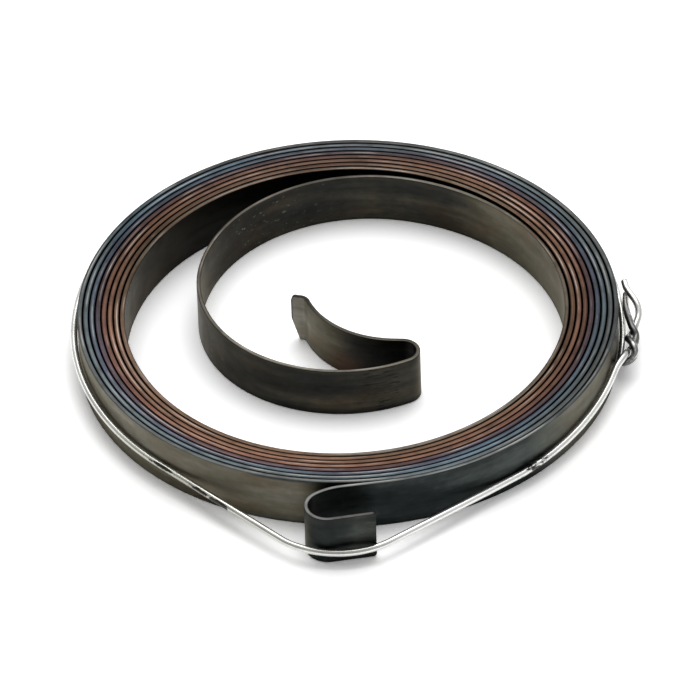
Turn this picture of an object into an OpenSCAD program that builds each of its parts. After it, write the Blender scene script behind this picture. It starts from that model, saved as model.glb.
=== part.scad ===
// Recoil starter spring: one flat steel strip, wound into a close coil with a
// hooked outer end and a loose inner loop, held wound by a twisted tie wire.
// Millimetres, +Z up. The coil's axis is Z and the strip's lower edge lies on z = 0.

/* [Strip] */
// Width of the strip, which is the height of the coil
strip_w = 8; // [6:0.5:14]
// Thickness of the strip
strip_t = 0.6; // [0.4:0.05:0.9]
// Radius of the rounded corners at the outer end
outer_corner_r = 0.5; // [0.2:0.1:2]
// Radius of the upper corner at the inner end
tip_upper_r = 0.7; // [0.3:0.1:2.6]
// How far the inner end's lower corner is cut back
tip_slant = 1.15; // [0.1:0.05:2]
// Height at which that slanting cut starts
tip_slant_z = 3.8; // [1:0.1:5]

/* [Coil] */
// Outside diameter of the wound coil
coil_d = 80; // [72:1:120]
// Turns from the outer hook to the loose loop
turns = 8.23; // [6:0.01:10]
// Clear gap between neighbouring turns
turn_gap = 0.31; // [0.2:0.01:0.6]
// Angle at which the outer hook leaves the coil
hook_at = -83; // [-100:1:-60]
// Share by which the tie closes the turns up at the front
front_close = 0.09; // [0:0.01:0.15]
// Angle at which the turns are closed up most
close_at = -112; // [-130:1:-60]
// Gap that is left where the hook draws the outer turn onto the next one
drawn_gap = 0.05; // [0.03:0.01:0.15]
// Angle over which the drawn outer turn eases back to the even gap
drawn_sweep = 110; // [60:5:180]

/* [Outer hook] */
// Straight lead from the coil to the hook
lead_l = 6.4; // [4:0.1:12]
// Radius of the easy bend that swings the lead outwards
swing_r = 8.7; // [6:0.1:15]
// Angle of the easy bend
swing_a = 27; // [10:1:35]
// Inside radius of the hook
hook_r = 2.8; // [2:0.1:4]
// Angle of the hook's bend
hook_a = 155; // [140:1:165]
// Straight leg at the end of the hook
hook_leg = 6.4; // [4:0.1:10]

/* [Loose loop] */
// How much tighter the loop starts than the coil's last turn
loop_ease = 1.2; // [0.6:0.1:4]
// Angle of the loop's first arc
loop_a1 = 76; // [50:1:100]
// How much tighter the second arc is than the first
loop_step2 = 6.6; // [3:0.1:9]
// Angle of the second arc
loop_a2 = 94; // [60:1:120]
// How much tighter the third arc is than the second
loop_step3 = 3.2; // [0:0.1:6]
// Angle of the third arc
loop_a3 = 126; // [90:1:150]

/* [Inner hook] */
// Inside radius of the inner hook
inner_r = 2.1; // [1.5:0.1:4]
// Angle of the inner hook's bend
inner_a = 149; // [130:1:165]
// Straight length after the bend
inner_flat = 1.6; // [1:0.1:5]
// Radius of the tail, which curves the other way
tail_r = 14.1; // [10:0.1:20]
// Angle of the tail
tail_a = 67; // [40:1:80]
// Inside radius of the small flick at the tail's end
flick_r = 1; // [0.6:0.1:5]
// Angle of the flick
flick_a = 56; // [0:1:70]
// Straight length at the tail's end, past the flick
flick_l = 1.5; // [0.8:0.1:4]

/* [Tie wire] */
// Diameter of the tie wire
wire_d = 1.1; // [0.8:0.05:1.4]
// Clear gap between the tie wire and the strip
wire_gap = 0.1; // [0.05:0.05:0.4]
// Radius of the wire's bend round the outer hook
tie_bend_r = 12.6; // [9:0.1:14]
// Height of the wire where it leaves the hook's bend
tie_z_hook = 2.5; // [1:0.1:5]
// Height of the wire where it meets the coil left of the hook
tie_z_left = 3.7; // [1:0.1:5]
// Height of the wire at the end of the hook's leg
tie_z_leg = 2.3; // [1:0.1:5]
// Height of the wire where it meets the coil right of the hook
tie_z_right = 2.4; // [1:0.1:5]
// Height of the wire round the back of the coil
tie_z_back = 5.1; // [1:0.1:6]
// Height of the wire's two ends as they reach the twist
tie_z_twist = 4; // [3:0.1:5]

/* [Twist] */
// Angle of the coil that the middle of the twist lies beside
twist_at = 1.4; // [-20:0.1:20]
// Distance from the coil to the middle of the two strands, at both ends of the twist
twist_off = 1.3; // [1.2:0.05:2]
// How much further out the middle of the twist stands
twist_bow = 0.6; // [0.4:0.1:1.2]
// Length of the tight first part
twist_tight = 4.4; // [3.6:0.1:8]
// Length of the open eye
twist_eye = 8.2; // [6:0.1:12]
// Length of the cut end past the eye
twist_end = 1.3; // [0.8:0.1:4]
// How far the outer strand bows out at the eye
eye_open = 0.55; // [0:0.05:1]
// Rise from the start of the twist to its cut end
twist_rise = 1.5; // [0:0.1:2]

/* [Hidden] */

// Coil
coil_r = coil_d / 2;
pitch = strip_t + turn_gap;
front_gap = pitch * closing(0) - strip_t;
drawn_in = front_gap - drawn_gap;
coil_sweep = 360 * turns;
coil_step = 5;
bend_step = 6;
corner_sides = 48;

// Outer face of the coil's outermost turn, by the angle swept inwards from the hook
function drawn(sweep) = drawn_in * (1 + cos(180 * min(1, sweep / drawn_sweep))) / 2;
function closing(sweep) = 1 - front_close * pow(max(0, cos(hook_at + sweep - close_at)), 2);
function outer_face_r(sweep) = coil_r - pitch * sweep / 360 * closing(sweep) - drawn(sweep);
function sweep_at(angle) = (angle - hook_at) - 360 * floor((angle - hook_at) / 360);
function polar(r, angle) = [r * cos(angle), r * sin(angle)];

// A place on the strip is [x, y, heading]. A bend to the left has a positive
// radius and angle, and a bend to the right has both negative.
function bend_to(from, r, a) = [
    from.x + r * (sin(from.z + a) - sin(from.z)),
    from.y + r * (cos(from.z) - cos(from.z + a)),
    from.z + a];
function bend(from, r, a) =
    let (n = ceil(abs(a) / bend_step))
    [for (i = [1:n]) bend_to(from, r, a * i / n)];
function bend_centre(from, r) = [from.x - r * sin(from.z), from.y + r * cos(from.z)];
function straight(from, l) =
    [[from.x + l * cos(from.z), from.y + l * sin(from.z), from.z]];
function turned_round(path) =
    [for (i = [len(path) - 1:-1:0]) [path[i].x, path[i].y, path[i].z + 180]];
function last(list) = list[len(list) - 1];

// Coil: a spiral that closes in by one pitch a turn
coil_n = ceil(coil_sweep / coil_step);
function coil_place(sweep) =
    let (p = polar(outer_face_r(sweep) - strip_t / 2, hook_at + sweep))
    [p.x, p.y, hook_at + sweep + 90];
coil = [for (i = [0:coil_n]) coil_place(coil_sweep * i / coil_n)];

// Outer hook, followed outwards from the start of the coil
hook_mid_r = hook_r + strip_t / 2;
hook_start = [coil[0].x, coil[0].y, coil[0].z - 180];
lead = straight(hook_start, lead_l);
swing = bend(last(lead), swing_r, swing_a);
hook_bend = bend(last(swing), hook_mid_r, hook_a);
leg = straight(last(hook_bend), hook_leg);
hook = concat(lead, swing, hook_bend, leg);

// Loose loop and inner hook, followed inwards from the end of the coil
loop_r1 = outer_face_r(coil_sweep) - strip_t / 2 - loop_ease;
loop_r2 = loop_r1 - loop_step2;
loop_r3 = loop_r2 - loop_step3;
loop1 = bend(last(coil), loop_r1, loop_a1);
loop2 = bend(last(loop1), loop_r2, loop_a2);
loop3 = bend(last(loop2), loop_r3, loop_a3);
inner_bend = bend(last(loop3), inner_r + strip_t / 2, inner_a);
inner_straight = straight(last(inner_bend), inner_flat);
tail_bend = bend(last(inner_straight), -tail_r, -tail_a);
flick = bend(last(tail_bend), flick_r + strip_t / 2, flick_a);
tail_end = straight(last(flick), flick_l);
tail = concat(inner_straight, tail_bend, flick, tail_end);

strip_path = concat(turned_round(hook), coil, loop1, loop2, loop3, inner_bend, tail);

// One side of the strip: the path moved sideways by half the thickness
function strip_side(off) =
    [for (p = strip_path) [p.x - off * sin(p.z), p.y + off * cos(p.z)]];
function reversed(list) = [for (i = [len(list) - 1:-1:0]) list[i]];

// A cut across the strip, drawn as seen along its thickness: the end of the strip is
// at x = 0 and its lower edge at y = 0
module across(place) {
    translate([place.x, place.y, 0])
        rotate([90, 0, place.z])
            linear_extrude(height = 4 * strip_t, center = true)
                children();
}
module upper_corner(r) {
    translate([-r, strip_w - r])
        difference() {
            square(r + 1);
            circle(r, $fn = corner_sides);
        }
}
module lower_corner(r) {
    translate([-r, r])
        difference() {
            translate([0, -r - 1]) square(r + 1);
            circle(r, $fn = corner_sides);
        }
}
module slanting_end() {
    polygon([
        [0, tip_slant_z],
        [1, tip_slant_z],
        [1, -1],
        [-tip_slant * (tip_slant_z + 1) / tip_slant_z, -1]]);
}

module spring() {
    color("#3d3c38")
        difference() {
            linear_extrude(height = strip_w)
                polygon(concat(strip_side(strip_t / 2), reversed(strip_side(-strip_t / 2))));
            across(last(leg)) {
                upper_corner(outer_corner_r);
                lower_corner(outer_corner_r);
            }
            across(last(tail)) {
                upper_corner(tip_upper_r);
                slanting_end();
            }
        }
}

// Tie wire: the circle that touches the hook's bend and the end of its leg
wire_r = wire_d / 2;
stand = wire_r + wire_gap;
hook_centre = bend_centre(last(swing), hook_mid_r);
leg_end = last(leg);
leg_corner = [leg_end.x + strip_t / 2 * sin(leg_end.z), leg_end.y - strip_t / 2 * cos(leg_end.z)];

// The point that lies ra from a and rb from b, on the left of the way from a to b
function meet(a, ra, b, rb) =
    let (d = norm(b - a), u = (b - a) / d, along = (ra * ra - rb * rb + d * d) / (2 * d))
    a + along * u + sqrt(ra * ra - along * along) * [-u.y, u.x];
tie_centre = meet(
    hook_centre, tie_bend_r - hook_mid_r - strip_t / 2 - stand,
    leg_corner, tie_bend_r - stand);
tie_dir = atan2(tie_centre.y, tie_centre.x);

// Angle at which the wire leaves the coil to run straight to the bend at the hook
function wall_r(angle) = outer_face_r(sweep_at(angle)) + stand;
function leave_angle(side, guess) =
    tie_dir + side * acos((wall_r(guess) - tie_bend_r) / norm(tie_centre));
leave_guess = 38;
right_angle = leave_angle(1, tie_dir + leave_guess);
left_angle = leave_angle(-1, tie_dir - leave_guess);

// Where the wire's front run joins the coil, where its back run is level, where that
// starts to fall and where it leaves the coil again, all counted clockwise
join_angle = twist_at - 18;
level_angle = -200;
fall_angle = twist_at - 330;
back_leave = twist_at - 372;
under_gap = 0.35;

// Heights of the wire by the angle gone clockwise
tie_heights = [
    [-join_angle, tie_z_twist],
    [-right_angle, tie_z_right],
    [-left_angle, tie_z_left],
    [-level_angle, tie_z_back],
    [-fall_angle, tie_z_back],
    [-back_leave, tie_z_twist - wire_d - under_gap]];
function tie_z(angle) = lookup(-angle, tie_heights);
function on_wall(angle) = concat(polar(wall_r(angle), angle), tie_z(angle));
function on_bend(angle) =
    let (done = (angle - right_angle) / (left_angle - right_angle))
    concat(
        tie_centre + polar(tie_bend_r, angle),
        tie_z_leg + (tie_z_hook - tie_z_leg) * done);
function angles(from, to, step) =
    let (n = ceil(abs(to - from) / step))
    [for (i = [0:n]) from + (to - from) * i / n];

// Twist: two strands wound round a line beside the coil, opened into an eye
twist_r = wire_r + wire_gap / 2;
twist_l = twist_tight + twist_eye + twist_end;
twist_mid = twist_tight + twist_eye / 2;
tight_turn = 270;
eye_turn = 180;
strand_step = 0.45;
function twist_turn(u) =
    u < twist_tight ? tight_turn * u / twist_tight
                    : tight_turn + eye_turn * min(1, (u - twist_tight) / twist_eye);
function twist_open(u) =
    u < twist_tight || u > twist_tight + twist_eye ? 0
        : eye_open * pow(sin(180 * (u - twist_tight) / twist_eye), 2);
function turned(p, angle) = [
    p.x * cos(angle) - p.y * sin(angle),
    p.x * sin(angle) + p.y * cos(angle),
    p.z];
function twist_point(u, phase, open) =
    let (a = twist_turn(u) + phase, r = twist_r + open * twist_open(u), done = u / twist_l)
    turned([
        outer_face_r(sweep_at(twist_at)) + twist_off + twist_bow * sin(180 * done) + r * cos(a),
        u - twist_mid,
        tie_z_twist + twist_rise * done + r * sin(a)], twist_at);
function strand(length, phase, open) =
    [for (u = angles(0, length, strand_step)) twist_point(u, phase, open)];
front_strand = strand(twist_tight + twist_eye, 180, 0);
back_strand = strand(twist_l, 0, 1);

// A smooth curve between two points that leaves and arrives along two directions
function curve(a, da, b, db, n) =
    [for (i = [1:n - 1])
        let (t = i / n, s = 1 - t)
        s * s * s * a + 3 * s * s * t * (a + da) + 3 * s * t * t * (b - db) + t * t * t * b];
function unit(v) = v / norm(v);
function clockwise(angle) = [sin(angle), -cos(angle), 0];

// The front strand runs onto the coil's wall, and the back strand hooks round under it
front_in = unit(front_strand[1] - front_strand[0]);
back_in = unit(back_strand[1] - back_strand[0]);
front_join = on_wall(join_angle);
back_join = on_wall(back_leave);
curve_n = 12;
front_ease = 2;
hook_round = 1.3;
front_lead = curve(
    front_strand[0], -front_ease * front_in,
    front_join, front_ease * clockwise(join_angle), curve_n);
back_lead = curve(
    back_join, hook_round * clockwise(back_leave),
    back_strand[0], hook_round * back_in, curve_n);

tie_path = concat(
    reversed(front_strand),
    front_lead,
    [for (a = angles(join_angle, right_angle, coil_step)) on_wall(a)],
    [for (a = angles(right_angle, left_angle, bend_step)) on_bend(a)],
    [for (a = angles(left_angle, back_leave, coil_step)) on_wall(a)],
    back_lead,
    back_strand);

// A round wire swept along a path, with the same number of points in each ring
wire_sides = 10;
function along(path, i) =
    unit(path[min(i + 1, len(path) - 1)] - path[max(i - 1, 0)]);
function ring(path, i) =
    let (t = along(path, i), side = unit(cross(t, [0, 0, 1])), up = cross(side, t))
    [for (k = [0:wire_sides - 1])
        path[i] + wire_r * (cos(360 * k / wire_sides) * side + sin(360 * k / wire_sides) * up)];
module tube(path) {
    n = len(path);
    points = [for (i = [0:n - 1]) each ring(path, i)];
    walls = [for (i = [0:n - 2], k = [0:wire_sides - 1])
        let (a = i * wire_sides, b = a + wire_sides, next = (k + 1) % wire_sides)
        each [[a + k, a + next, b + next], [a + k, b + next, b + k]]];
    first_cap = [[for (k = [wire_sides - 1:-1:0]) k]];
    last_cap = [[for (k = [0:wire_sides - 1]) (n - 1) * wire_sides + k]];
    polyhedron(points, concat(walls, first_cap, last_cap));
}

module tie_wire() {
    color("#c9c8c2") tube(tie_path);
}

spring();
tie_wire();
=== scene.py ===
# Recoil starter spring: the looks of the wound steel strip and of the wire that ties it.
# Sizes below are in millimetres and degrees. Those of the two pieces are the same as in the
# part's source, and what is for the looks alone stands under a heading that says so.
import math

import bmesh
import bpy
from mathutils import Matrix, Vector, noise


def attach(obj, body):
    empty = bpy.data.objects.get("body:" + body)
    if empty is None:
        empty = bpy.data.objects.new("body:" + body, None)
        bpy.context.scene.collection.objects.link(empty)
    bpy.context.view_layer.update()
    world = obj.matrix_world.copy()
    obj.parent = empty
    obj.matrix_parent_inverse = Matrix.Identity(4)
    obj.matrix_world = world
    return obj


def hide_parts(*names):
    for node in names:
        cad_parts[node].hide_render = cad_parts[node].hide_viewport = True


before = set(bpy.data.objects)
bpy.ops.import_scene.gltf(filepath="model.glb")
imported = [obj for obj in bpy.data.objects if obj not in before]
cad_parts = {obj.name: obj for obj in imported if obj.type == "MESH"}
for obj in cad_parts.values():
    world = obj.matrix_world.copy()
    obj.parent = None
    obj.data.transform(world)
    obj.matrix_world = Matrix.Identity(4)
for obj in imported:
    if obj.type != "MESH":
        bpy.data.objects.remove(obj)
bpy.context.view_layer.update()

MM = 0.001

# Strip
STRIP_W = 8.0
STRIP_T = 0.6
OUTER_CORNER_R = 0.5
TIP_UPPER_R = 0.7
TIP_SLANT = 1.15
TIP_SLANT_Z = 3.8

# Coil
COIL_R = 40.0
TURNS = 8.23
TURN_GAP = 0.31
PITCH = STRIP_T + TURN_GAP
HOOK_AT = -83.0
FRONT_CLOSE = 0.09
CLOSE_AT = -112.0
DRAWN_GAP = 0.05
DRAWN_SWEEP = 110.0

# Outer hook
LEAD_L = 6.4
SWING_R = 8.7
SWING_A = 27.0
HOOK_R = 2.8
HOOK_A = 155.0
HOOK_LEG = 6.4

# Loose loop and inner hook
LOOP_EASE = 1.2
LOOP_ARCS = [(0.0, 76.0), (6.6, 94.0), (3.2, 126.0)]
INNER_R = 2.1
INNER_A = 149.0
INNER_FLAT = 1.6
TAIL_R = 14.1
TAIL_A = 67.0
FLICK_R = 1.0
FLICK_A = 56.0
FLICK_L = 1.5

# Tie wire
WIRE_R = 0.55
WIRE_GAP = 0.1
TIE_BEND_R = 12.6
TIE_Z_HOOK = 2.5
TIE_Z_LEFT = 3.7
TIE_Z_LEG = 2.3
TIE_Z_RIGHT = 2.4
TIE_Z_BACK = 5.1
TIE_Z_TWIST = 4.0
UNDER_GAP = 0.35
LEAVE_GUESS = 38.0

# Twist
TWIST_AT = 1.4
TWIST_OFF = 1.3
TWIST_BOW = 0.6
TWIST_TIGHT = 4.4
TWIST_EYE = 8.2
TWIST_END = 1.3
EYE_OPEN = 0.55
TWIST_RISE = 1.5
TIGHT_TURN = 270.0
EYE_TURN = 180.0
FRONT_EASE = 2.0
HOOK_ROUND = 1.3

# Looks only: the rounding of the strip's rims, their slight swell with the depths to which it is
# full and at which it is gone, the ragged tip and the radius at which the wire is shown
EDGE_R = 0.12
EDGE_FLARE = 0.045
FLARE_FULL = 0.05
FLARE_GONE = 0.45
TIP_RAGGED = 0.10
WIRE_SHOWN_R = 0.525

# Looks only: the fineness of the meshes, with steps in degrees on the coil and in the bends, and
# in millimetres at the strip's ends and along the wire
COIL_STEP = 2.5
BEND_STEP = 3.0
END_REACH = 3.0
END_STEP = 0.12
STRAND_STEP = 0.22
WIRE_STEP = 1.0
WIRE_SIDES = 20
CORNER_PARTS = 4


def cosd(a):
    return math.cos(math.radians(a))


def sind(a):
    return math.sin(math.radians(a))


# The strip's path, from the outer end to the inner end
def closing(sweep):
    """The share of the pitch at a place: the turns are drawn together at the front."""
    return 1 - FRONT_CLOSE * max(0.0, cosd(HOOK_AT + sweep - CLOSE_AT)) ** 2


DRAWN_IN = PITCH * closing(0) - STRIP_T - DRAWN_GAP


def outer_face_r(sweep):
    """Radius of the outer face. The first stretch lies closer to the next turn."""
    drawn = DRAWN_IN * (1 + cosd(180 * min(1, sweep / DRAWN_SWEEP))) / 2
    return COIL_R - PITCH * sweep / 360 * closing(sweep) - drawn


def coil_place(sweep):
    r = outer_face_r(sweep) - STRIP_T / 2
    angle = HOOK_AT + sweep
    return (r * cosd(angle), r * sind(angle), angle + 90)


def straight(start, length, n):
    """Places along a straight run, without its start."""
    x, y, h = start
    return [(x + length * i / n * cosd(h), y + length * i / n * sind(h), h) for i in range(1, n + 1)]


def bend(start, r, a):
    """Places along a bend to the left, without its start; r and a below 0 bend to the right."""
    x, y, h = start
    n = math.ceil(abs(a) / BEND_STEP)
    out = []
    for i in range(1, n + 1):
        to = h + a * i / n
        out.append((x + r * (sind(to) - sind(h)), y + r * (cosd(h) - cosd(to)), to))
    return out


def stationed(part, places, first_turn, last_turn):
    """Gives each place of one part of the strip its turn and its station."""
    gone = [0.0]
    for a, b in zip(places, places[1:]):
        gone.append(gone[-1] + math.dist(a[:2], b[:2]))
    out = []
    for (x, y, h), g in zip(places, gone):
        share = g / gone[-1]
        out.append((x, y, h, first_turn + (last_turn - first_turn) * share, part + share))
    return out


def strip_path():
    """Places as (x, y, heading, turn, station), and two places of the outer hook.

    The station tells the part of the strip: 0 to 1 is the outer hook, 1 to 2 the coil,
    2 to 5 the three arcs of the loop, 5 to 6 the inner hook and 6 to 7 the tail.
    """
    sweep = 360 * TURNS
    n = math.ceil(sweep / COIL_STEP)
    coil = [coil_place(sweep * i / n) for i in range(n + 1)]
    x, y, h = coil[0]
    hook = straight((x, y, h - 180), LEAD_L, 4)
    hook += bend(hook[-1], SWING_R, SWING_A)
    swing_end = hook[-1]
    hook += bend(swing_end, HOOK_R + STRIP_T / 2, HOOK_A)
    hook += straight(hook[-1], HOOK_LEG, 16)
    path = stationed(0, [(p[0], p[1], p[2] + 180) for p in reversed(hook)], 0.0, 0.0)
    path += stationed(1, coil, 0.0, TURNS)
    r = outer_face_r(sweep) - STRIP_T / 2 - LOOP_EASE
    turn = TURNS
    for i, (step, a) in enumerate(LOOP_ARCS):
        r -= step
        path += stationed(2 + i, bend(path[-1][:3], r, a), turn, turn + a / 360)
        turn += a / 360
    path += stationed(5, bend(path[-1][:3], INNER_R + STRIP_T / 2, INNER_A), turn, turn)
    tail = straight(path[-1][:3], INNER_FLAT, 2)
    tail += bend(tail[-1], -TAIL_R, -TAIL_A)
    tail += bend(tail[-1], FLICK_R + STRIP_T / 2, FLICK_A)
    tail += straight(tail[-1], FLICK_L, 6)
    path += stationed(6, tail, turn, turn)
    return path, swing_end, hook[-1]


PATH, SWING_END, LEG_END = strip_path()


def finer_ends(path, reach, step):
    """Adds places near both ends, so that the rounded corners there come out round."""
    def split(a, b):
        length = math.hypot(b[0] - a[0], b[1] - a[1])
        n = max(1, math.ceil(length / step))
        return [tuple(a[k] + (b[k] - a[k]) * i / n for k in range(5)) for i in range(1, n + 1)]

    out = [path[0]]
    gone = 0.0
    total = sum(math.dist(path[i][:2], path[i + 1][:2]) for i in range(len(path) - 1))
    for a, b in zip(path, path[1:]):
        near = gone < reach or total - gone < reach
        out += split(a, b) if near else [b]
        gone += math.dist(a[:2], b[:2])
    return out


def round_corner(d, r):
    """How much a rounded corner of radius r takes off at the distance d from the strip's end."""
    return 0.0 if d >= r else r - math.sqrt(max(0.0, r * r - (r - d) ** 2))


def heights(from_outer, from_inner):
    """Lower and upper edge of the strip at a place, by its distance from both ends."""
    low = round_corner(from_outer, OUTER_CORNER_R)
    high = STRIP_W - low
    if from_inner < END_REACH:
        ragged = TIP_RAGGED * noise.noise(Vector((from_inner * 5.0, 3.0, 0.0)))
        low = max(low, TIP_SLANT_Z * (1 - from_inner / TIP_SLANT) + ragged)
        high = min(high, STRIP_W - round_corner(from_inner, TIP_UPPER_R) - abs(ragged))
    return max(low, 0.0), high


def strip_section(low, high, flare):
    """Points of the strip's section as (offset to the left, z), once round."""
    half = STRIP_T / 2
    r = EDGE_R
    held = ((FLARE_FULL, flare), (FLARE_GONE, 0.0))
    points = []
    for side, up, start in ((-1, -1, 180), (1, -1, 270), (1, 1, 0), (-1, 1, 90)):
        mid_o = side * (half + flare - r)
        mid_z = (low if up < 0 else high) - up * r
        arc = []
        for i in range(CORNER_PARTS + 1):
            a = start + 90 * i / CORNER_PARTS
            arc.append((mid_o + r * cosd(a), mid_z + r * sind(a)))
        flats = [(side * (half + out), mid_z - up * h) for h, out in held]
        if side == up:
            points += list(reversed(flats)) + arc
            points += [(mid_o * (1 - share), low if up < 0 else high) for share in (0.5, 1.0, 1.5)]
        else:
            points += arc + flats
    return points


def new_object(name, verts, faces, smooth=True):
    mesh = bpy.data.meshes.new(name)
    mesh.from_pydata(verts, [], faces)
    made = bmesh.new()
    made.from_mesh(mesh)
    bmesh.ops.recalc_face_normals(made, faces=made.faces)
    made.to_mesh(mesh)
    made.free()
    for face in mesh.polygons:
        face.use_smooth = smooth and len(face.vertices) == 4
    obj = bpy.data.objects.new(name, mesh)
    bpy.context.scene.collection.objects.link(obj)
    return obj


def add_attribute(obj, name, values):
    layer = obj.data.attributes.new(name, "FLOAT", "POINT")
    layer.data.foreach_set("value", values)


def lofted(rings):
    """Vertices and faces of a closed loft through rings with the same number of points."""
    n = len(rings[0])
    verts = [p for ring in rings for p in ring]
    faces = []
    for i in range(len(rings) - 1):
        a = i * n
        for k in range(n):
            nxt = (k + 1) % n
            faces.append((a + k, a + nxt, a + n + nxt, a + n + k))
    faces.append(tuple(reversed(range(n))))
    faces.append(tuple(range((len(rings) - 1) * n, len(rings) * n)))
    return verts, faces


# How light the flat faces are, by station: the face on the outside of the turns and the face
# on their inside. The tone goes from 0, nearly black, to 1, a light olive grey. It is partly the
# strip's own staining and partly painted light and shade: lighter where the faces would catch
# the light, as on the front-left of the coil and on the tail, and painted shade beside the outer hook.
OUTSIDE_TONES = [
    (0.00, 0.14), (0.60, 0.08), (0.90, 0.16), (1.003, 0.32), (1.008, 0.42), (1.012, 0.50),
    (1.0135, 0.76), (1.0165, 0.97), (1.019, 0.97), (1.0225, 0.90), (1.0255, 0.36),
    (1.0285, 0.12), (1.060, 0.40), (1.090, 0.50), (1.100, 0.95), (1.112, 0.94),
    (1.1255, 0.95), (1.1285, 0.16), (1.14, 0.12), (1.95, 0.15), (2.0, 0.30), (4.0, 0.22),
    (4.4, 0.21), (4.5, 0.26), (4.8, 0.31), (5.0, 0.30), (5.6, 0.42), (6.0, 0.30), (7.0, 0.55)]
INSIDE_TONES = [
    (0.00, 0.34), (0.12, 0.44), (0.20, 0.32), (0.27, 0.28), (0.45, 0.36), (0.60, 0.12),
    (1.00, 0.12), (1.91, 0.05), (1.925, 0.06), (1.933, 0.08), (1.942, 0.28), (1.97, 0.36),
    (2.0, 0.70), (2.3, 0.88), (2.6, 0.66), (2.8, 0.24), (3.1, 0.36), (3.4, 0.38),
    (3.6, 0.26), (3.8, 0.16), (4.0, 0.45), (4.3, 0.24), (5.0, 0.10), (5.6, 0.05), (6.0, 0.06),
    (6.28, 0.16), (6.5, 0.60), (6.75, 0.93), (6.85, 1.06), (7.0, 1.14)]

# How strong the cool slate tint is on the faces by the outer hook
OUTSIDE_COOL = [(0.0, 0.6), (1.012, 1.0), (1.017, 0.3), (1.05, 0.0)]
INSIDE_COOL = [(0.0, 0.55), (0.30, 0.9), (0.60, 0.5), (1.02, 0.0)]

# How light the edge is, above 0, or how dark, below 0. Above 0 it is partly bare metal on the
# outer hook and partly a painted highlight, strongest on the hook's bend near 0.58
BARE_AND_GLINT_EDGE = [
    (0.0, -0.50), (0.22, -0.40), (0.32, -0.15), (0.50, 0.10), (0.58, 0.65), (0.68, 0.25),
    (0.95, 0.30), (1.01, 0.0), (2.0, 0.0), (2.3, -0.25), (4.2, -0.25), (5.0, -0.3),
    (5.3, -0.4), (6.2, -0.6), (6.96, -0.9), (7.0, -1.0)]

# How high the painted shade at the foot of the outside faces reaches: it stands for the shade
# along the floor and under the wire
OUTSIDE_FOOT_SHADE = [
    (0.0, 0.6), (1.01, 0.9), (1.018, 1.2), (1.03, 1.0), (1.09, 1.2), (1.10, 1.8),
    (1.117, 1.8), (1.122, 1.0), (1.13, 0.6)]

# How much of the swell the rims have: it is on the close-wound turns only
RIM_SWELL = [(1.005, 0.0), (1.025, 1.0), (1.98, 1.0), (2.0, 0.0)]

# How far the edge's colour reaches down the faces, in full and then fading: in the gaps between
# the turns and elsewhere, and how far it reaches along the strip at the inner tip. Carried deep
# into the gaps, the lighter edge colour is painted light that keeps the gaps from going black
GAP_RIM = (EDGE_R, 0.45)
OPEN_RIM = (0.01, 0.07)
TIP_RIM = 0.3

# Marks on the edges, by the angle on the coil: middle, reach and strength of each
LATER_TEMPER = [(-30, 75, 0.8)]
BLUER = [(119, 54, 1.0), (-60, 40, 0.35)]
DULLER = [(95, 60, 1.0)]
# Painted shade on the rims where they would catch less light, most at the sides of the coil
RIM_SHADE = [(-10, 80, 0.8), (148, 50, 0.9), (92, 32, 0.55), (-86, 26, 0.45)]

# One more dark mark, and how it fades from the first turn inwards
DARKER_FIRST = [(115, 60, 1.0)]
FIRST_TURN = [(1.0, 1.0), (1.5, 0.0)]

# Marks on the flat faces, by the station
OUTSIDE_SCUFFS = [(4.22, 0.2, 1.0)]
OUTSIDE_SCRATCHES = [(4.9, 0.14, 1.8)]
INSIDE_SCUFFS = [(3.62, 0.5, 1.0)]
INSIDE_SCRATCHES = [(6.5, 0.3, 1.0)]
INSIDE_RUST = [(6.4, 0.22, 1.0), (1.942, 0.015, 0.35)]

# Marks on the wire, by the distance from the end of its front strand
# Painted shade: the dark reflection of the coil's wall in the twisted strands
TWIST_SHADE = [(9.0, 9.0, 1.0), (278.0, 10.0, 1.5)]
TINTED = [(105.0, 30.0, 1.0)]
# The wire's run between the twist and the hook: rougher, and a lighter grey as painted light
DULL_AND_PAINTED_LIGHT = [(52.0, 24.0, 1.0)]
LOW_FLECKS = [(96.0, 2.5, 1.9)]
BAND_FLECKS = [(99.5, 3.5, 1.4), (107.0, 4.0, 1.6)]
ROUND_FLECKS = [(41.0, 5.0, 0.6)]
LOW_SHADE = [(102.0, 30.0, 1.0)]
TOP_SHADE = [(77.0, 12.0, 1.0)]

# Sides of the wire that those marks keep to, by the angle round it: 0 is towards the coil and
# 90 is up. The low side sets in at LOW_FROM and is full 180 / LOW_RISE degrees further on.
LOW_FROM = 85.0
LOW_RISE = 1.9
FLECK_BAND = [(148.0, 45.0, 1.0)]
TOP_BAND = [(105.0, 75.0, 1.0)]


def between(stops, at):
    """The value at one place of a list of stops, in a straight line between them."""
    if at <= stops[0][0]:
        return stops[0][1]
    for (a, low), (b, high) in zip(stops, stops[1:]):
        if at <= b:
            return low + (high - low) * (at - a) / (b - a)
    return stops[-1][1]


def near(value, middle, reach):
    """1 at the middle, falling smoothly to 0 at the given reach on both sides."""
    away = min(1.0, abs(value - middle) / reach)
    return (1 + math.cos(math.pi * away)) / 2


def near_angle(angle, middle, reach):
    """The same for angles in degrees, the short way round."""
    return near((angle - middle + 180) % 360 - 180, 0.0, reach)


def marked(marks, at):
    """The strongest of some marks at one place."""
    return max(strength * near(at, middle, reach) for middle, reach, strength in marks)


def marked_angle(marks, angle):
    """The same for marks at angles in degrees."""
    return max(strength * near_angle(angle, middle, reach) for middle, reach, strength in marks)


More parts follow.
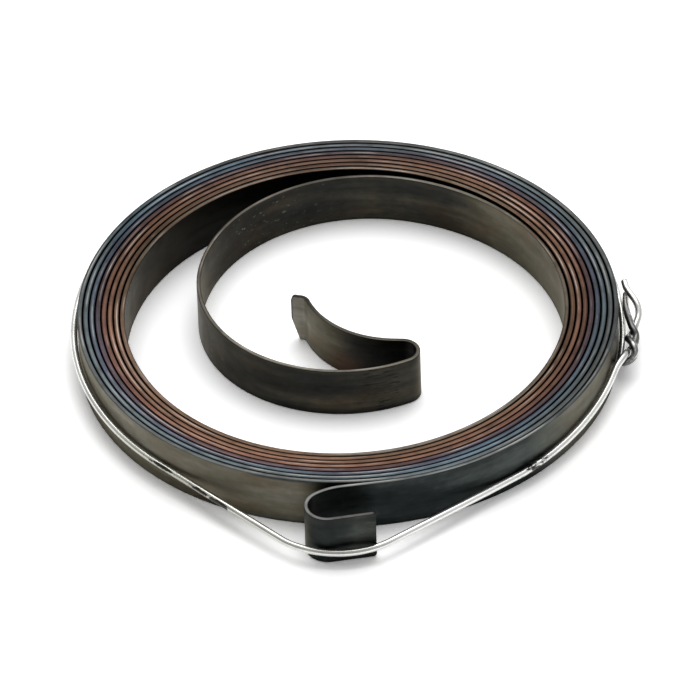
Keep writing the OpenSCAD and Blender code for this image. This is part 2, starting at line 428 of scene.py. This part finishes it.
def make_spring():
    path = finer_ends(PATH, END_REACH, END_STEP)
    gone = [0.0]
    for a, b in zip(path, path[1:]):
        gone.append(gone[-1] + math.dist(a[:2], b[:2]))
    names = (
        "turn", "along", "edge", "temper", "tone", "cool", "scuff", "scratch", "blued", "dulled",
        "foot_shade", "across", "bare_and_glint", "dimmed", "rust")
    values = {name: [] for name in names}
    rings = []
    for (x, y, h, turn, station), s in zip(path, gone):
        low, high = heights(s, gone[-1] - s)
        azimuth = math.degrees(math.atan2(y, x))
        same = {
            "turn": turn,
            "along": s,
            "temper": turn - marked_angle(LATER_TEMPER, azimuth) if turn > 1 else turn,
            "blued": marked_angle(BLUER, azimuth),
            "dulled": marked_angle(DULLER, azimuth),
            "dimmed": max(
                marked_angle(RIM_SHADE, azimuth),
                marked_angle(DARKER_FIRST, azimuth) * between(FIRST_TURN, turn)),
            "bare_and_glint": between(BARE_AND_GLINT_EDGE, station)}
        faces = (
            {
                "tone": between(OUTSIDE_TONES, station),
                "cool": between(OUTSIDE_COOL, station),
                "foot_shade": between(OUTSIDE_FOOT_SHADE, station),
                "rust": 0.0,
                "scuff": marked(OUTSIDE_SCUFFS, station),
                "scratch": marked(OUTSIDE_SCRATCHES, station)},
            {
                "tone": between(INSIDE_TONES, station),
                "cool": between(INSIDE_COOL, station),
                "foot_shade": 0.0,
                "rust": marked(INSIDE_RUST, station),
                "scuff": marked(INSIDE_SCUFFS, station),
                "scratch": marked(INSIDE_SCRATCHES, station)})
        at_tip = max(0.0, 1.0 - (gone[-1] - s) / TIP_RIM)
        ring = []
        flare = EDGE_FLARE * between(RIM_SWELL, station)
        for off, z in strip_section(low, high, flare):
            ring.append(((x - off * sind(h)) * MM, (y + off * cosd(h)) * MM, z * MM))
            depth = min(z - low, high - z)
            inward = turn > 1 if off < 0 else turn < TURNS - 1
            # In the gaps between the turns the edge colour reaches deeper: painted light
            in_gap = inward and 1 <= station <= 2
            top, reach = GAP_RIM if in_gap else OPEN_RIM
            shaped = {
                "across": off / (STRIP_T / 2),
                "edge": max(at_tip, 1.0 - min(1.0, max(0.0, depth - top) / reach))}
            for name, value in {**same, **faces[1 if off > 0 else 0], **shaped}.items():
                values[name].append(value)
        rings.append(ring)
    obj = new_object("wound_strip", *lofted(rings))
    for name in names:
        add_attribute(obj, name, values[name])
    return obj


# The tie wire's path: once round the coil and the hook, with both ends twisted together
def polar(r, a):
    return Vector((r * cosd(a), r * sind(a)))


def meet(a, ra, b, rb):
    """The point at the distances ra from a and rb from b, to the left of the way from a to b."""
    d = (b - a).length
    u = (b - a) / d
    part = (ra * ra - rb * rb + d * d) / (2 * d)
    return a + part * u + math.sqrt(ra * ra - part * part) * Vector((-u.y, u.x))


def sweep_at(angle):
    return (angle - HOOK_AT) % 360


STAND = WIRE_R + WIRE_GAP


def wall_r(angle):
    return outer_face_r(sweep_at(angle)) + STAND


def smooth_curve(a, da, b, db, n):
    """Points between a and b on a curve that leaves a along da and reaches b along db."""
    out = []
    for i in range(1, n):
        t = i / n
        s = 1 - t
        out.append(s ** 3 * a + 3 * s * s * t * (a + da) + 3 * s * t * t * (b - db) + t ** 3 * b)
    return out


def span(start, stop, step):
    n = math.ceil(abs(stop - start) / step)
    return [start + (stop - start) * i / n for i in range(n + 1)]


def tie_path():
    hook_mid_r = HOOK_R + STRIP_T / 2
    sx, sy, sh = SWING_END
    hook_centre = Vector((sx - hook_mid_r * sind(sh), sy + hook_mid_r * cosd(sh)))
    lx, ly, lh = LEG_END
    leg_corner = Vector((lx + STRIP_T / 2 * sind(lh), ly - STRIP_T / 2 * cosd(lh)))
    centre = meet(
        hook_centre, TIE_BEND_R - hook_mid_r - STRIP_T / 2 - STAND,
        leg_corner, TIE_BEND_R - STAND)
    towards = math.degrees(math.atan2(centre.y, centre.x))

    def leave_angle(side):
        reach = wall_r(towards + side * LEAVE_GUESS) - TIE_BEND_R
        return towards + side * math.degrees(math.acos(reach / centre.length))

    right = leave_angle(1)
    left = leave_angle(-1)

    # Angles at which the wire leaves the twist, is level at the back, begins to fall, and
    # turns off to the twist again
    join = TWIST_AT - 18
    level = -200.0
    fall = TWIST_AT - 330
    leave = TWIST_AT - 372
    table = [
        (-join, TIE_Z_TWIST), (-right, TIE_Z_RIGHT), (-left, TIE_Z_LEFT),
        (-level, TIE_Z_BACK), (-fall, TIE_Z_BACK),
        (-leave, TIE_Z_TWIST - 2 * WIRE_R - UNDER_GAP)]

    def tie_z(angle):
        a = -angle
        if a <= table[0][0]:
            return table[0][1]
        for (a0, z0), (a1, z1) in zip(table, table[1:]):
            if a <= a1:
                return z0 + (z1 - z0) * (a - a0) / (a1 - a0)
        return table[-1][1]

    def on_wall(angle):
        p = polar(wall_r(angle), angle)
        return Vector((p.x, p.y, tie_z(angle)))

    def on_bend(angle):
        p = centre + polar(TIE_BEND_R, angle)
        done = (angle - right) / (left - right)
        return Vector((p.x, p.y, TIE_Z_LEG + (TIE_Z_HOOK - TIE_Z_LEG) * done))

    twist_r = WIRE_R + WIRE_GAP / 2
    twist_l = TWIST_TIGHT + TWIST_EYE + TWIST_END
    twist_mid = TWIST_TIGHT + TWIST_EYE / 2
    base_r = outer_face_r(sweep_at(TWIST_AT))
    turned = Matrix.Rotation(math.radians(TWIST_AT), 3, "Z")

    def twist_point(u, phase, opens):
        in_eye = min(1.0, max(0.0, (u - TWIST_TIGHT) / TWIST_EYE))
        a = TIGHT_TURN * min(1.0, u / TWIST_TIGHT) + EYE_TURN * in_eye + phase
        r = twist_r + opens * EYE_OPEN * sind(180 * in_eye) ** 2
        done = u / twist_l
        out = base_r + TWIST_OFF + TWIST_BOW * sind(180 * done) + r * cosd(a)
        return turned @ Vector((out, u - twist_mid, TIE_Z_TWIST + TWIST_RISE * done + r * sind(a)))

    def strand(length, phase, opens):
        return [twist_point(u, phase, opens) for u in span(0, length, STRAND_STEP)]

    def clockwise(a):
        return Vector((sind(a), -cosd(a), 0))

    front = strand(TWIST_TIGHT + TWIST_EYE, 180, 0)
    back = strand(twist_l, 0, 1)
    front_in = (front[1] - front[0]).normalized()
    back_in = (back[1] - back[0]).normalized()
    front_lead = smooth_curve(
        front[0], -FRONT_EASE * front_in,
        on_wall(join), FRONT_EASE * clockwise(join), 18)
    back_lead = smooth_curve(
        on_wall(leave), HOOK_ROUND * clockwise(leave),
        back[0], HOOK_ROUND * back_in, 24)
    path = list(reversed(front)) + front_lead
    path += [on_wall(a) for a in span(join, right, 2)]
    path += [on_bend(a) for a in span(right, left, 3)]
    path += [on_wall(a) for a in span(left, leave, 2)]
    path += back_lead + back
    return path


def eased(path, rounds):
    """The path with its corners eased a little; the two end points stay."""
    for _ in range(rounds):
        inner = [(path[i - 1] + 2 * path[i] + path[i + 1]) / 4 for i in range(1, len(path) - 1)]
        path = [path[0]] + inner + [path[-1]]
    return path


def filled(path, step):
    """The path with points added on its straight runs, where marks on the wire need them."""
    full = [path[0]]
    for here, there in zip(path, path[1:]):
        parts = max(1, math.ceil((there - here).length / step))
        full += [here.lerp(there, k / parts) for k in range(1, parts + 1)]
    return full


def make_wire():
    path = filled(eased(tie_path(), 1), WIRE_STEP)
    n = len(path)
    rings = []
    names = ("along", "round", "fleck", "twist_shade", "tinted", "dull_and_painted_light", "shade")
    values = {name: [] for name in names}
    gone = 0.0
    for i in range(n):
        ahead = (path[min(i + 1, n - 1)] - path[max(i - 1, 0)]).normalized()
        side = ahead.cross(Vector((0, 0, 1))).normalized()
        up = side.cross(ahead)
        if i:
            gone += (path[i] - path[i - 1]).length
        ring = []
        for k in range(WIRE_SIDES):
            a = 360 * k / WIRE_SIDES
            ring.append((path[i] + WIRE_SHOWN_R * (cosd(a) * side + sind(a) * up)) * MM)
            low = (1 - cosd(min(180, max(0, (a - LOW_FROM) * LOW_RISE)))) / 2
            values["along"].append(gone)
            values["round"].append(k / WIRE_SIDES)
            values["fleck"].append(max(
                low * marked(LOW_FLECKS, gone),
                marked(FLECK_BAND, a) * marked(BAND_FLECKS, gone),
                marked(ROUND_FLECKS, gone)))
            values["twist_shade"].append(min(1.0, marked(TWIST_SHADE, gone)))
            values["tinted"].append(marked(TINTED, gone))
            values["dull_and_painted_light"].append(marked(DULL_AND_PAINTED_LIGHT, gone))
            values["shade"].append(max(
                low * marked(LOW_SHADE, gone),
                marked(TOP_BAND, a) * marked(TOP_SHADE, gone)))
        rings.append(ring)
    obj = new_object("tie_wire_round", *lofted(rings))
    for name in names:
        add_attribute(obj, name, values[name])
    return obj


# Materials
class Nodes:
    """Short names for making and joining the nodes of one material."""

    def __init__(self, name):
        self.material = bpy.data.materials.new(name)
        self.material.use_nodes = True
        self.tree = self.material.node_tree
        self.shader = self.tree.nodes["Principled BSDF"]

    def add(self, kind, inputs=(), **settings):
        node = self.tree.nodes.new(kind)
        for key, value in settings.items():
            setattr(node, key, value)
        for key, value in dict(inputs).items():
            self.set(node, key, value)
        return node

    def set(self, node, key, value):
        if isinstance(value, bpy.types.NodeSocket):
            self.tree.links.new(value, node.inputs[key])
        else:
            node.inputs[key].default_value = value

    def attribute(self, name):
        return self.add("ShaderNodeAttribute", attribute_name=name).outputs["Fac"]

    def math(self, operation, a, b=0.0, clamp=False):
        return self.add("ShaderNodeMath", {0: a, 1: b}, operation=operation, use_clamp=clamp).outputs[0]

    def mix(self, factor, a, b, blend="MIX"):
        node = self.add("ShaderNodeMix", {0: factor, 6: a, 7: b}, data_type="RGBA", blend_type=blend)
        return node.outputs[2]

    def noise(self, vector, scale, detail=3.0, rough=0.55):
        return self.add(
            "ShaderNodeTexNoise",
            {"Vector": vector, "Scale": scale, "Detail": detail, "Roughness": rough}).outputs["Fac"]

    def range(self, value, low, high, to_low=0.0, to_high=1.0):
        node = self.add("ShaderNodeMapRange", {0: value, 1: low, 2: high, 3: to_low, 4: to_high})
        return node.outputs[0]

    def ramp(self, value, stops):
        node = self.add("ShaderNodeValToRGB", {0: value})
        bar = node.color_ramp
        while len(bar.elements) < len(stops):
            bar.elements.new(0.5)
        for element, (place, colour) in zip(bar.elements, stops):
            element.position = place
            element.color = colour
        return node.outputs["Color"]

    def combine(self, x, y, z):
        return self.add("ShaderNodeCombineXYZ", {0: x, 1: y, 2: z}).outputs[0]


def srgb(r, g, b):
    def linear(c):
        c /= 255
        return c / 12.92 if c <= 0.04045 else ((c + 0.055) / 1.055) ** 2.4
    return (linear(r), linear(g), linear(b), 1.0)


GRAZING_TINT = (0.81, 0.785, 0.73, 1.0)


def spring_material():
    n = Nodes("tempered_strip")
    turn = n.attribute("turn")
    along = n.attribute("along")
    place = n.add("ShaderNodeTexCoord").outputs["Object"]
    z_mm = n.math("MULTIPLY", n.add("ShaderNodeSeparateXYZ", {0: place}).outputs["Z"], 1000.0)

    def along_noise(along_scale, across_scale, layer, detail=4.0, rough=0.55):
        """Noise that is drawn out along the strip or across it."""
        along_part = n.math("MULTIPLY", along, along_scale)
        across_part = n.math("MULTIPLY", z_mm, across_scale)
        return n.noise(n.combine(along_part, across_part, layer), 1.0, detail, rough)

    # Temper colours of the edges: grey by the hook, then blue, purple, copper and olive grey
    drift = n.range(n.noise(place, 26.0, 2.0), 0.25, 0.75, -0.6, 0.6)
    own = n.range(along_noise(0.025, 0.0, n.math("MULTIPLY", turn, 2.0)), 0.25, 0.75, -0.6, 0.6)
    heat = n.math("ADD", n.attribute("temper"), n.math("ADD", drift, own))
    tempered = n.ramp(n.math("MULTIPLY", heat, 0.1), [
        (0.000, srgb(104, 105, 104)),
        (0.030, srgb(92, 95, 95)),
        (0.150, srgb(92, 100, 102)),
        (0.240, srgb(88, 101, 109)),
        (0.320, srgb(74, 78, 90)),
        (0.390, srgb(84, 70, 74)),
        (0.460, srgb(106, 77, 67)),
        (0.560, srgb(122, 91, 75)),
        (0.680, srgb(112, 86, 70)),
        (0.790, srgb(102, 84, 69)),
        (0.850, srgb(116, 112, 102))])
    bluest = n.math("MULTIPLY", n.range(heat, 2.4, 3.6, 0.8, 0.0), n.range(heat, 0.7, 1.7))
    blue = n.mix(bluest, tempered, srgb(84, 114, 134))
    edge_colour = n.mix(n.attribute("blued"), tempered, blue)
    edge_colour = n.mix(n.math("MULTIPLY", n.attribute("dulled"), 0.4), edge_colour, srgb(84, 76, 72))
    streaks = along_noise(0.30, 0.0, n.math("MULTIPLY", turn, 7.0))
    edge_colour = n.mix(n.range(streaks, 0.45, 0.75, 0.0, 0.6), edge_colour, srgb(48, 45, 44))
    across = n.attribute("across")
    # Lighter edges on the outer hook, bare metal and a painted highlight, and darker rims further in
    bare_and_glint = n.attribute("bare_and_glint")
    edge_colour = n.mix(n.math("MAXIMUM", bare_and_glint, 0.0), edge_colour, srgb(130, 130, 127))
    darker_rim = n.math("MAXIMUM", n.math("MULTIPLY", bare_and_glint, -1.0), 0.0)
    edge_colour = n.mix(darker_rim, edge_colour, srgb(50, 49, 45))
    # Brightness of the rims: streaks at random along them, painted shade across each rim, light in its
    # middle and darker towards the faces, and painted shade by the angle on the coil
    lined = n.combine(
        n.math("MULTIPLY", along, 0.035),
        n.math("MULTIPLY", across, 2.2),
        n.math("MULTIPLY", turn, 9.0))
    lines = n.range(n.noise(lined, 1.0, 3.0, 0.6), 0.3, 0.7, 0.48, 1.36)
    rounded_shading = n.range(n.math("ABSOLUTE", across), 0.1, 1.0, 1.12, 0.75)
    dimming = n.range(n.attribute("dimmed"), 0.0, 1.0, 1.04, 0.52)
    level = n.math("MULTIPLY", n.math("MULTIPLY", lines, rounded_shading), dimming)
    edge_colour = n.mix(1.0, edge_colour, n.combine(level, level, level), "MULTIPLY")
    # Painted highlights: thin light lines along the rims
    glints = n.range(along_noise(0.07, 0.0, n.math("MULTIPLY", turn, 5.0)), 0.50, 0.64, 0.0, 0.4)
    thin = n.range(n.math("ABSOLUTE", n.math("SUBTRACT", across, 0.2)), 0.1, 0.45, 1.0, 0.0)
    edge_colour = n.mix(n.math("MULTIPLY", thin, glints), edge_colour, srgb(206, 202, 196))

    # Tone of the flat faces: the listed tones with their painted light and shade, smears that run
    # along the strip, mottling and a painted shade at the foot
    smears = n.range(along_noise(0.05, 0.30, turn, 5.0), 0.3, 0.7, -0.21, 0.21)
    mottling = n.range(along_noise(0.6, 0.9, 2.0, 4.0), 0.3, 0.7, -0.05, 0.05)
    tone = n.math("ADD", n.math("ADD", n.attribute("tone"), smears), mottling)
    # Painted shade: the faces darker towards their foot, up to the height listed above
    above_foot_shade = n.math("SUBTRACT", z_mm, n.attribute("foot_shade"))
    tone = n.math("SUBTRACT", tone, n.range(above_foot_shade, -1.2, 0.6, 0.28, 0.0))
    share = n.math("MULTIPLY", tone, 0.76)
    olive = n.ramp(share, [
        (0.00, srgb(20, 21, 21)),
        (0.18, srgb(38, 38, 36)),
        (0.27, srgb(48, 47, 42)),
        (0.42, srgb(67, 64, 54)),
        (0.53, srgb(85, 82, 70)),
        (0.66, srgb(102, 98, 86)),
        (0.80, srgb(124, 121, 110)),
        (1.00, srgb(160, 157, 147))])
    brown = n.ramp(share, [
        (0.00, srgb(24, 20, 18)),
        (0.27, srgb(52, 45, 37)),
        (0.53, srgb(86, 76, 61)),
        (0.80, srgb(122, 113, 98)),
        (1.00, srgb(156, 149, 136))])
    slate = n.ramp(share, [
        (0.00, srgb(18, 21, 22)),
        (0.27, srgb(42, 47, 47)),
        (0.53, srgb(76, 82, 80)),
        (0.80, srgb(112, 116, 112))])
    rusty = n.range(along_noise(0.11, 0.2, 4.0, 3.0), 0.50, 0.68, 0.0, 0.8)
    face_colour = n.mix(n.attribute("cool"), n.mix(rusty, olive, brown), slate)

    # Rust on the lower half, pale specks and dark scratches
    low_rust = n.math("MULTIPLY", n.attribute("rust"), n.range(z_mm, 2.0, 5.0, 1.0, 0.0))
    face_colour = n.mix(n.math("MULTIPLY", low_rust, 0.7), face_colour, srgb(66, 48, 38))
    specks = n.range(along_noise(0.9, 1.7, 9.0, 4.0, 0.6), 0.62, 0.71)
    pale = n.math("MULTIPLY", n.math("MULTIPLY", specks, n.attribute("scuff")), 0.7)
    face_colour = n.mix(pale, face_colour, srgb(124, 121, 113))
    scratch = n.attribute("scratch")
    deeper = n.math("MULTIPLY", scratch, 0.1)
    strokes = n.range(n.math("ADD", along_noise(0.45, 2.6, 15.0, 3.0), deeper), 0.70, 0.78)
    dark = n.math("MULTIPLY", strokes, n.range(scratch, 0.0, 1.0, 0.0, 0.75))
    face_colour = n.mix(dark, face_colour, srgb(20, 19, 18))

    n.set(n.shader, "Base Color", n.mix(n.attribute("edge"), face_colour, edge_colour))
    # Metal all over, with a slightly warm and dimmed reflection at a grazing angle
    n.shader.inputs["Metallic"].default_value = 1.0
    n.shader.inputs["Specular Tint"].default_value = GRAZING_TINT
    rough = n.range(n.noise(place, 260.0, 4.0), 0.3, 0.7, 0.34, 0.46)
    rough = n.math("ADD", rough, n.range(tone, 0.5, 1.0, 0.0, 0.2))
    n.set(n.shader, "Roughness", rough)
    rolled = along_noise(0.15, 9.0, 0.0, 3.0)
    bump = n.add("ShaderNodeBump", {"Strength": 0.08, "Distance": 0.00004, "Height": rolled})
    n.set(n.shader, "Normal", bump.outputs[0])
    return n.material


def wire_material():
    n = Nodes("galvanised_wire_bright")
    along = n.attribute("along")
    around = n.attribute("round")
    place = n.add("ShaderNodeTexCoord").outputs["Object"]

    def drawn(along_scale, around_scale, layer, detail=3.0):
        """Noise that is drawn out along the wire."""
        along_part = n.math("MULTIPLY", along, along_scale)
        around_part = n.math("MULTIPLY", around, around_scale)
        return n.noise(n.combine(along_part, around_part, layer), 1.0, detail, 0.6)

    cloud = n.noise(place, 180.0, 4.0)
    zinc = n.mix(n.range(cloud, 0.3, 0.7), srgb(212, 212, 209), srgb(238, 238, 235))
    zinc = n.mix(n.math("MULTIPLY", n.attribute("tinted"), 0.5), zinc, srgb(216, 215, 196))
    lines = n.range(drawn(0.25, 9.0, 0.0), 0.45, 0.75, 0.0, 0.45)
    zinc = n.mix(lines, zinc, srgb(140, 140, 136))
    # Painted light: the run between the twist and the hook lighter, besides being rougher below
    zinc = n.mix(n.math("MULTIPLY", n.attribute("dull_and_painted_light"), 0.85), zinc, srgb(240, 240, 238))
    zinc = n.mix(n.math("MULTIPLY", n.attribute("shade"), 0.75), zinc, srgb(150, 149, 141))
    # Painted shade on the twist, dark where the strands reflect the coil's wall
    twist_shaded = n.math("MULTIPLY", n.attribute("twist_shade"), n.range(drawn(0.5, 3.0, 5.0), 0.32, 0.48))
    zinc = n.mix(n.math("MULTIPLY", twist_shaded, 0.9), zinc, srgb(58, 58, 56))
    spread = n.math("MULTIPLY", n.attribute("fleck"), 0.25)
    flecks = n.range(n.math("ADD", drawn(0.7, 5.0, 9.0, 4.0), spread), 0.60, 0.67)
    dark = n.math("MULTIPLY", flecks, n.range(n.attribute("fleck"), 0.10, 0.40, 0.0, 0.95))
    n.set(n.shader, "Base Color", n.mix(dark, zinc, srgb(38, 37, 34)))
    n.shader.inputs["Metallic"].default_value = 0.95
    rough = n.range(cloud, 0.3, 0.7, 0.20, 0.32)
    n.set(n.shader, "Roughness", n.math("ADD", rough, n.math("MULTIPLY", n.attribute("dull_and_painted_light"), 0.1)))
    return n.material


# Room: a white floor and soft light from above and from behind, in metres
FLOOR_HALF = 3.0
FLOOR_DROP = 0.00003
FLOOR_WHITE = (0.9, 0.9, 0.9, 1.0)
FLOOR_SHOWN = (1.36, 1.36, 1.36, 1.0)
SKY_WHITE = (1.0, 1.0, 1.0, 1.0)
SKY_BRIGHTEST = (0.30, 0.55, 0.78)
SKY_LOW = 0.40
SKY_HIGH = 0.90
LAMP_PLACE = (0.02, 0.44, 1.07)
LAMP_SIZE = 0.9
LAMP_POWER = 7.0


def floor_material():
    n = Nodes("white_floor")
    n.shader.inputs["Roughness"].default_value = 1.0
    n.shader.inputs["Specular IOR Level"].default_value = 0.0
    seen = n.add("ShaderNodeLightPath").outputs
    lit = n.math("MAXIMUM", seen["Is Camera Ray"], seen["Is Glossy Ray"])
    lit = n.math("MAXIMUM", lit, seen["Is Transmission Ray"])
    n.set(n.shader, "Base Color", n.mix(lit, FLOOR_WHITE, FLOOR_SHOWN))
    return n.material


def make_floor():
    half = FLOOR_HALF
    verts = [(-half, -half, 0), (half, -half, 0), (half, half, 0), (-half, half, 0)]
    floor = new_object("floor", verts, [(0, 1, 2, 3)], smooth=False)
    floor.location.z = -FLOOR_DROP
    floor.data.materials.append(floor_material())


def make_world():
    world = bpy.data.worlds.new("white_room")
    bpy.context.scene.world = world
    world.use_nodes = True
    tree = world.node_tree
    back = tree.nodes["Background"]
    back.inputs["Color"].default_value = SKY_WHITE
    way = tree.nodes.new("ShaderNodeTexCoord")
    facing = tree.nodes.new("ShaderNodeVectorMath")
    facing.operation = "DOT_PRODUCT"
    facing.inputs[1].default_value = Vector(SKY_BRIGHTEST).normalized()
    level = tree.nodes.new("ShaderNodeMapRange")
    level.inputs["To Min"].default_value = SKY_LOW
    level.inputs["To Max"].default_value = SKY_HIGH
    tree.links.new(way.outputs["Generated"], facing.inputs[0])
    tree.links.new(facing.outputs["Value"], level.inputs["Value"])
    tree.links.new(level.outputs["Result"], back.inputs["Strength"])


def make_light(name, place, aim, size, power):
    data = bpy.data.lights.new(name, "AREA")
    data.shape = "SQUARE"
    data.size = size
    data.energy = power
    lamp = bpy.data.objects.new(name, data)
    lamp.location = place
    lamp.rotation_euler = (Vector(aim) - Vector(place)).to_track_quat("-Z", "Y").to_euler()
    bpy.context.scene.collection.objects.link(lamp)


# Camera: at the photograph's angle, a little rolled
def make_camera():
    elevation = math.radians(39.654)
    roll = 0.033355
    target = Vector((0.338, -9.635, 8.056)) * MM
    distance = 1.5
    right = Vector((1, 0, 0))
    up = Vector((0, math.sin(elevation), math.cos(elevation)))
    back = Vector((0, -math.cos(elevation), math.sin(elevation)))
    x_axis = math.cos(roll) * right - math.sin(roll) * up
    y_axis = math.sin(roll) * right + math.cos(roll) * up
    turn = Matrix((x_axis, y_axis, back)).transposed().to_4x4()
    data = bpy.data.cameras.new("camera")
    data.sensor_width = 36.0
    data.lens = 530.5
    data.clip_start = 0.1
    data.clip_end = 20.0
    camera = bpy.data.objects.new("camera", data)
    camera.matrix_world = Matrix.Translation(target + distance * back) @ turn
    bpy.context.scene.collection.objects.link(camera)
    bpy.context.scene.camera = camera


spring = make_spring()
spring.data.materials.append(spring_material())
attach(spring, "root")
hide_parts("spring")

wire = make_wire()
wire.data.materials.append(wire_material())
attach(wire, "root")
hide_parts("tie_wire")

make_floor()
make_world()
make_light("key_light", LAMP_PLACE, (0, 0, 0), LAMP_SIZE, LAMP_POWER)
make_camera()
bpy.context.scene.view_settings.view_transform = "Standard"
